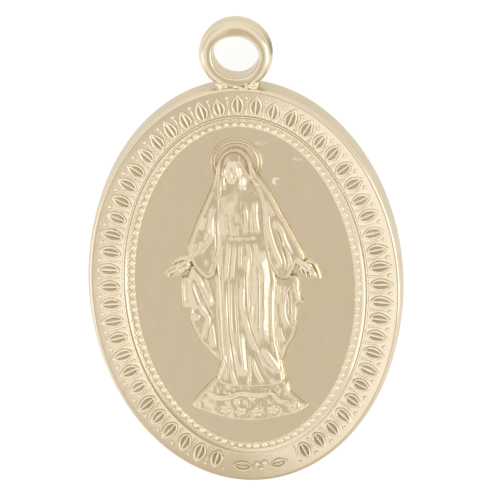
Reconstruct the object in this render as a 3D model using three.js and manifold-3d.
// An oval devotional medal with a fixed suspension ring: one solid of struck and soldered metal.
// Millimetres. The medal lies face up on its flat back. +Z leaves the face, +Y points to the ring,
// +X is to the right, and the origin is the middle of the oval on the back.

import * as THREE from 'three';
import { mergeVertices } from 'three/addons/utils/BufferGeometryUtils.js';
import Module from 'manifold-3d';

const wasm = await Module();
wasm.setup();

// Driving dimensions of the oval blank.
const medalWidth = 19.05;
const medalHeight = 25.4;
const rimThickness = 1.78;
const backEdgeRadius = 0.25;
const frontEdgeRadius = 0.45;

// The border. The band runs from the edge to the raised line and falls slightly inwards.
const sideBandWidth = 2.13;
const endBandWidth = 1.89;
const bandFall = 0.06;
const lineWidth = 0.22;
const lineHeight = 0.1;
const lineToBeads = 0.1;
const beadWidth = 0.36;
const beadHeight = 0.16;
const beadShoulder = 0.85;
const fieldDepth = 0.3;

// The relief. Its outer sizes are the field's, less these margins of plain field.
const nimbusMargin = 0.84;
const globeMargin = 1.47;
const handMargin = 2.12;
const mantleProud = 0.34;
const robeProud = 0.62;
const robeFoldCount = 6;
const robeFoldDepth = 0.05;
const nimbusRadius = 1.56;
const nimbusRimWidth = 0.16;
const nimbusProud = 0.14;
const headWidth = 1.24;
const headHeight = 1.84;
const headProud = 0.72;
const sleeveRadius = 0.56;
const sleeveProud = 0.62;
const handWidth = 0.72;
const handLength = 0.8;
const handProud = 0.4;
const fingerRadius = 0.16;
const thumbRadius = 0.1;
const globeProud = 0.56;

// The ring, an eye of rounded rectangular section with its hole facing the front. The faces of
// the ring and of its seat lie this far inside the oval's own, front and back.
const ringHole = 2.78;
const ringRadial = 0.85;
const ringInset = 0.09;
const ringCornerRadius = 0.36;
const ringBite = 0.3;
const seatWidth = 2.8;
const seatTopWidth = 1.7;
const seatHeight = 0.62;
const seatInset = 0.24;

// How finely round shapes are faceted.
const ovalSides = 88;
const ringSides = 40;
const cornerSteps = 4;
const reliefSteps = 10;
const stepsPerFold = 4;
const lumpSides = 20;
const barSides = 12;
const arcSteps = 14;

// How square the section of draped cloth is: 2 is half round, more is flatter with steeper sides.
const clothSquareness = 3;

// How far shapes that are joined reach into each other.
const weldDepth = 0.25;
const globeOverlap = 1.12;
const edgeSink = 0.04;
const mergeDistance = 1e-5;

const blankRadius = medalWidth / 2;
const lineFoot = rimThickness - bandFall;
const fieldLevel = rimThickness - fieldDepth;
const fieldInset = sideBandWidth + lineWidth + lineToBeads + beadWidth;

// Half the length of the oval whose half width is r. The band is narrower at the ends than at
// the sides, so an inset shrinks the length less than the width.
function halfLengthAt(r) {
  return medalHeight / 2 - (blankRadius - r) * (endBandWidth / sideBandWidth);
}

const fieldHalfWidth = blankRadius - fieldInset;
const fieldHalfLength = halfLengthAt(fieldHalfWidth);
const figureTop = fieldHalfLength - nimbusMargin;
const figureBottom = -fieldHalfLength + globeMargin;
const figureHeight = figureTop - figureBottom;
const figureHalfSpan = fieldHalfWidth - handMargin;

// A closed geometry as a solid that can be joined: equal points merged, empty triangles left out.
function toSolid(geometry) {
  const bare = geometry.clone();
  bare.deleteAttribute('normal');
  bare.deleteAttribute('uv');
  const merged = mergeVertices(bare, mergeDistance);
  const corners = merged.index.array;
  const triangles = [];
  for (let i = 0; i < corners.length; i += 3) {
    const [a, b, c] = corners.slice(i, i + 3);
    if (a !== b && b !== c && c !== a) {
      triangles.push(a, b, c);
    }
  }
  const vertProperties = merged.attributes.position.array;
  const triVerts = Uint32Array.from(triangles);
  return new wasm.Manifold(new wasm.Mesh({ numProp: 3, vertProperties, triVerts }));
}

// A quarter turn of a rounded edge in a profile, from one angle to the other, in radians.
function corner(centreR, centreZ, radius, from, to) {
  const points = [];
  for (let i = 0; i <= cornerSteps; i += 1) {
    const angle = from + ((to - from) * i) / cornerSteps;
    points.push(new THREE.Vector2(centreR + radius * Math.cos(angle), centreZ + radius * Math.sin(angle)));
  }
  return points;
}

// The blank with its border, turned round and then stretched into the oval.
function ovalBlank() {
  const lineOuter = blankRadius - sideBandWidth;
  const lineInner = lineOuter - lineWidth;
  const beadOuter = lineInner - lineToBeads;
  const beadMiddle = beadOuter - beadWidth / 2;
  const beadFoot = lineFoot - lineHeight / 2;
  const profile = [
    new THREE.Vector2(0, 0),
    ...corner(blankRadius - backEdgeRadius, backEdgeRadius, backEdgeRadius, -Math.PI / 2, 0),
    ...corner(blankRadius - frontEdgeRadius, rimThickness - frontEdgeRadius, frontEdgeRadius, 0, Math.PI / 2),
    new THREE.Vector2(lineOuter, lineFoot),
    new THREE.Vector2(lineOuter - lineWidth / 3, lineFoot + lineHeight),
    new THREE.Vector2(lineInner + lineWidth / 3, lineFoot + lineHeight),
    new THREE.Vector2(lineInner, beadFoot),
    new THREE.Vector2(beadOuter, beadFoot),
    new THREE.Vector2(beadMiddle + beadWidth / 4, beadFoot + beadHeight * beadShoulder),
    new THREE.Vector2(beadMiddle, beadFoot + beadHeight),
    new THREE.Vector2(beadMiddle - beadWidth / 4, beadFoot + beadHeight * beadShoulder),
    new THREE.Vector2(fieldHalfWidth, fieldLevel),
    new THREE.Vector2(0, fieldLevel),
  ];
  const blank = new THREE.LatheGeometry(profile, ovalSides);
  blank.rotateX(Math.PI / 2);
  const position = blank.attributes.position;
  for (let i = 0; i < position.count; i += 1) {
    const r = Math.hypot(position.getX(i), position.getY(i));
    const stretch = r > mergeDistance ? halfLengthAt(r) / r : 0;
    position.setY(i, position.getY(i) * stretch);
  }
  return blank;
}

// Where the figure's tables put a point: `up` is a share of its height, `across` of its half span.
const heightOf = (up) => figureBottom + up * figureHeight;
const placeOf = (across) => across * figureHalfSpan;

// Draped cloth raised from the field. Each row of its table is one level of the figure: how far
// the cloth reaches to the left and the right, and its share of the full height off the field.
function clothRelief(levels, proud, foldCount = 0) {
  const steps = foldCount > 0 ? foldCount * stepsPerFold : reliefSteps;
  const block = new THREE.BoxGeometry(1, 1, 1, steps, levels.length - 1, 1);
  const position = block.attributes.position;
  for (let i = 0; i < position.count; i += 1) {
    const level = levels[Math.round((position.getY(i) + 0.5) * (levels.length - 1))];
    const share = position.getX(i) + 0.5;
    const arch = Math.sqrt(Math.max(0, 1 - Math.abs(2 * share - 1) ** clothSquareness));
    const fold = foldCount > 0 ? robeFoldDepth * Math.cos(2 * Math.PI * foldCount * share) * arch : 0;
    const crown = fieldLevel - edgeSink + (proud * level.proud + edgeSink) * arch + fold;
    const x = THREE.MathUtils.lerp(placeOf(level.left), placeOf(level.right), share);
    position.setXYZ(i, x, heightOf(level.up), position.getZ(i) > 0 ? crown : fieldLevel - weldDepth);
  }
  return block;
}

// The mantle: a veil over the head, wide sleeves at the level of the hands, and a drape below them.
const mantleLevels = [
  { up: 0.198, left: -0.34, right: 0.404, proud: 0.7 },
  { up: 0.22, left: -0.404, right: 0.436, proud: 0.8 },
  { up: 0.291, left: -0.628, right: 0.585, proud: 0.9 },
  { up: 0.351, left: -0.713, right: 0.638, proud: 1 },
  { up: 0.411, left: -0.8, right: 0.745, proud: 1 },
  { up: 0.51, left: -0.819, right: 0.702, proud: 1 },
  { up: 0.575, left: -0.777, right: 0.777, proud: 1.1 },
  { up: 0.636, left: -0.691, right: 0.681, proud: 1.2 },
  { up: 0.717, left: -0.574, right: 0.532, proud: 1.3 },
  { up: 0.778, left: -0.468, right: 0.426, proud: 1.3 },
  { up: 0.838, left: -0.34, right: 0.277, proud: 1.2 },
  { up: 0.865, left: -0.298, right: 0.223, proud: 1.2 },
  { up: 0.92, left: -0.24, right: 0.15, proud: 1.1 },
  { up: 0.948, left: -0.16, right: 0.08, proud: 0.8 },
  { up: 0.959, left: -0.09, right: 0.02, proud: 0.3 },
];

// The robe: shoulders, a belted waist, and a skirt that widens to the hem on the globe.
const robeLevels = [
  { up: 0.15, left: -0.4, right: 0.45, proud: 0.9 },
  { up: 0.22, left: -0.365, right: 0.41, proud: 1 },
  { up: 0.351, left: -0.38, right: 0.385, proud: 1 },
  { up: 0.5, left: -0.36, right: 0.41, proud: 1 },
  { up: 0.64, left: -0.26, right: 0.27, proud: 0.92 },
  { up: 0.66, left: -0.26, right: 0.26, proud: 0.84 },
  { up: 0.7, left: -0.3, right: 0.27, proud: 1 },
  { up: 0.77, left: -0.34, right: 0.28, proud: 0.98 },
  { up: 0.815, left: -0.2, right: 0.12, proud: 0.75 },
];

// A rounded lump on the field, such as a head or a palm, given by its middle and its full sizes.
function lump(x, y, width, height, proud) {
  const ball = new THREE.SphereGeometry(0.5, lumpSides, lumpSides / 2);
  ball.scale(width, height, 2 * proud);
  ball.translate(x, y, fieldLevel);
  return ball;
}

// A round-ended bar lying in the relief from one place to another, such as a sleeve or a finger.
function bar(from, to, radius, level) {
  const start = new THREE.Vector3(placeOf(from.across), heightOf(from.up), level);
  const end = new THREE.Vector3(placeOf(to.across), heightOf(to.up), level);
  const along = end.clone().sub(start);
  const rod = new THREE.CapsuleGeometry(radius, along.length(), cornerSteps, barSides);
  const turn = new THREE.Quaternion().setFromUnitVectors(new THREE.Vector3(0, 1, 0), along.clone().normalize());
  rod.applyQuaternion(turn);
  const middle = start.add(end).multiplyScalar(0.5);
  rod.translate(middle.x, middle.y, middle.z);
  return rod;
}

const headPlace = { across: -0.06, up: 0.867 };
const nimbusPlace = { across: -0.04, up: 1 };

function head() {
  return lump(placeOf(headPlace.across), heightOf(headPlace.up), headWidth, headHeight, headProud);
}

// The nimbus: a thin disc behind the head with a raised rim.
function nimbus() {
  const rimInner = nimbusRadius - nimbusRimWidth;
  const plateLevel = fieldLevel + nimbusProud / 2;
  const disc = new THREE.LatheGeometry([
    new THREE.Vector2(0, fieldLevel - weldDepth),
    new THREE.Vector2(nimbusRadius, fieldLevel - weldDepth),
    new THREE.Vector2(nimbusRadius, fieldLevel),
    new THREE.Vector2(nimbusRadius - nimbusRimWidth / 2, fieldLevel + nimbusProud),
    new THREE.Vector2(rimInner, plateLevel),
    new THREE.Vector2(0, plateLevel),
  ], ringSides);
  disc.rotateX(Math.PI / 2);
  disc.translate(placeOf(nimbusPlace.across), heightOf(nimbusPlace.up) - nimbusRadius, 0);
  return disc;
}

// Each side: a sleeve from the shoulder to the wrist and an open palm. The fingers point down and
// outwards to the tip, which marks the figure's full span, and the thumb points down.
const arms = [
  {
    shoulder: { across: -0.44, up: 0.745 },
    wrist: { across: -0.73, up: 0.58 },
    palm: { across: -0.89, up: 0.54 },
    tip: { across: -1, up: 0.505 },
    thumb: { across: -0.89, up: 0.5 },
  },
  {
    shoulder: { across: 0.4, up: 0.745 },
    wrist: { across: 0.71, up: 0.58 },
    palm: { across: 0.87, up: 0.54 },
    tip: { across: 1, up: 0.505 },
    thumb: { across: 0.87, up: 0.5 },
  },
];

function armParts({ shoulder, wrist, palm, tip, thumb }) {
  return [
    bar(shoulder, wrist, sleeveRadius, fieldLevel + sleeveProud - sleeveRadius),
    lump(placeOf(palm.across), heightOf(palm.up), handWidth, handLength, handProud),
    bar(palm, tip, fingerRadius, fieldLevel + fingerRadius / 2),
    bar(palm, thumb, thumbRadius, fieldLevel + thumbRadius / 2),
  ];
}

// The globe under the feet: the upper part of a ball, cut off below by a shallow arc.
const globeOutline = {
  left: { across: -0.77, up: 0.05 },
  crown: { across: 0, up: 0.3 },
  right: { across: 0.75, up: 0.045 },
  foot: { across: -0.05, up: -0.05 },
};

function globe() {
  const { left, crown, right, foot } = globeOutline;
  const outline = new THREE.Shape();
  outline.moveTo(placeOf(left.across), heightOf(left.up));
  outline.quadraticCurveTo(placeOf(foot.across), heightOf(foot.up), placeOf(right.across), heightOf(right.up));
  outline.quadraticCurveTo(placeOf(crown.across), heightOf(crown.up), placeOf(left.across), heightOf(left.up));
  const column = new THREE.ExtrudeGeometry(outline, {
    depth: weldDepth + globeProud,
    bevelEnabled: false,
    curveSegments: arcSteps,
  });
  column.translate(0, 0, fieldLevel - weldDepth);
  const width = placeOf(right.across - left.across);
  const height = 2 * (heightOf(crown.up) - heightOf(left.up));
  const ball = lump(placeOf(foot.across), heightOf(left.up), width * globeOverlap, height, globeProud);
  return toSolid(ball).intersect(toSolid(column));
}

// The ring's section is a rounded rectangle, and its hole's axis runs front to back.
const ringMiddleRadius = ringHole / 2 + ringRadial / 2;
const ringDepth = rimThickness - 2 * ringInset;
const seatDepth = rimThickness - 2 * seatInset;
const ringPlace = { y: medalHeight / 2 - ringBite + ringRadial + ringHole / 2, z: rimThickness / 2 };

function ring() {
  const inner = ringMiddleRadius - ringRadial / 2 + ringCornerRadius;
  const outer = ringMiddleRadius + ringRadial / 2 - ringCornerRadius;
  const low = -ringDepth / 2 + ringCornerRadius;
  const high = ringDepth / 2 - ringCornerRadius;
  const quarter = Math.PI / 2;
  const section = [
    ...corner(outer, low, ringCornerRadius, -quarter, 0),
    ...corner(outer, high, ringCornerRadius, 0, quarter),
    ...corner(inner, high, ringCornerRadius, quarter, 2 * quarter),
    ...corner(inner, low, ringCornerRadius, 2 * quarter, 3 * quarter),
  ];
  section.push(section[0].clone());
  const loop = new THREE.LatheGeometry(section, ringSides);
  loop.rotateX(Math.PI / 2);
  loop.translate(0, ringPlace.y, ringPlace.z);
  return loop;
}

// Solder fills the corner between the ring and the oval's edge with two sloping shoulders.
function solderSeat() {
  const foot = medalHeight / 2 - ringBite - weldDepth;
  const top = foot + seatHeight;
  const outline = new THREE.Shape();
  outline.moveTo(-seatWidth / 2, foot);
  outline.lineTo(seatWidth / 2, foot);
  outline.quadraticCurveTo(seatTopWidth / 2, foot + seatHeight / 2, seatTopWidth / 2, top);
  outline.lineTo(-seatTopWidth / 2, top);
  outline.quadraticCurveTo(-seatTopWidth / 2, foot + seatHeight / 2, -seatWidth / 2, foot);
  const seat = new THREE.ExtrudeGeometry(outline, { depth: seatDepth, bevelEnabled: false, curveSegments: 4 });
  seat.translate(0, 0, rimThickness / 2 - seatDepth / 2);
  return seat;
}

// The ring's hole is cut clear of anything that the seat or the blank would leave in it.
function ringHoleCutter() {
  const cutter = new THREE.CylinderGeometry(ringHole / 2, ringHole / 2, 2 * rimThickness, ringSides);
  cutter.rotateX(Math.PI / 2);
  cutter.translate(0, ringPlace.y, ringPlace.z);
  return cutter;
}

const shapes = [
  solderSeat(),
  ring(),
  nimbus(),
  clothRelief(mantleLevels, mantleProud),
  clothRelief(robeLevels, robeProud, robeFoldCount),
  head(),
  ...arms.flatMap(armParts),
];

const struck = toSolid(ovalBlank()).add(globe());
const soldered = shapes.reduce((whole, shape) => whole.add(toSolid(shape)), struck);
const mesh = soldered.subtract(toSolid(ringHoleCutter())).getMesh();

const geometry = new THREE.BufferGeometry();
geometry.setAttribute('position', new THREE.BufferAttribute(mesh.vertProperties, 3));
geometry.setIndex(new THREE.BufferAttribute(mesh.triVerts, 1));
geometry.computeVertexNormals();

const gold = new THREE.MeshStandardMaterial({ color: 0xd9c294, roughness: 0.22, metalness: 1 });
const medal = new THREE.Mesh(geometry, gold);
medal.name = 'medal';

const pendant = new THREE.Group();
pendant.add(medal);

export default pendant;
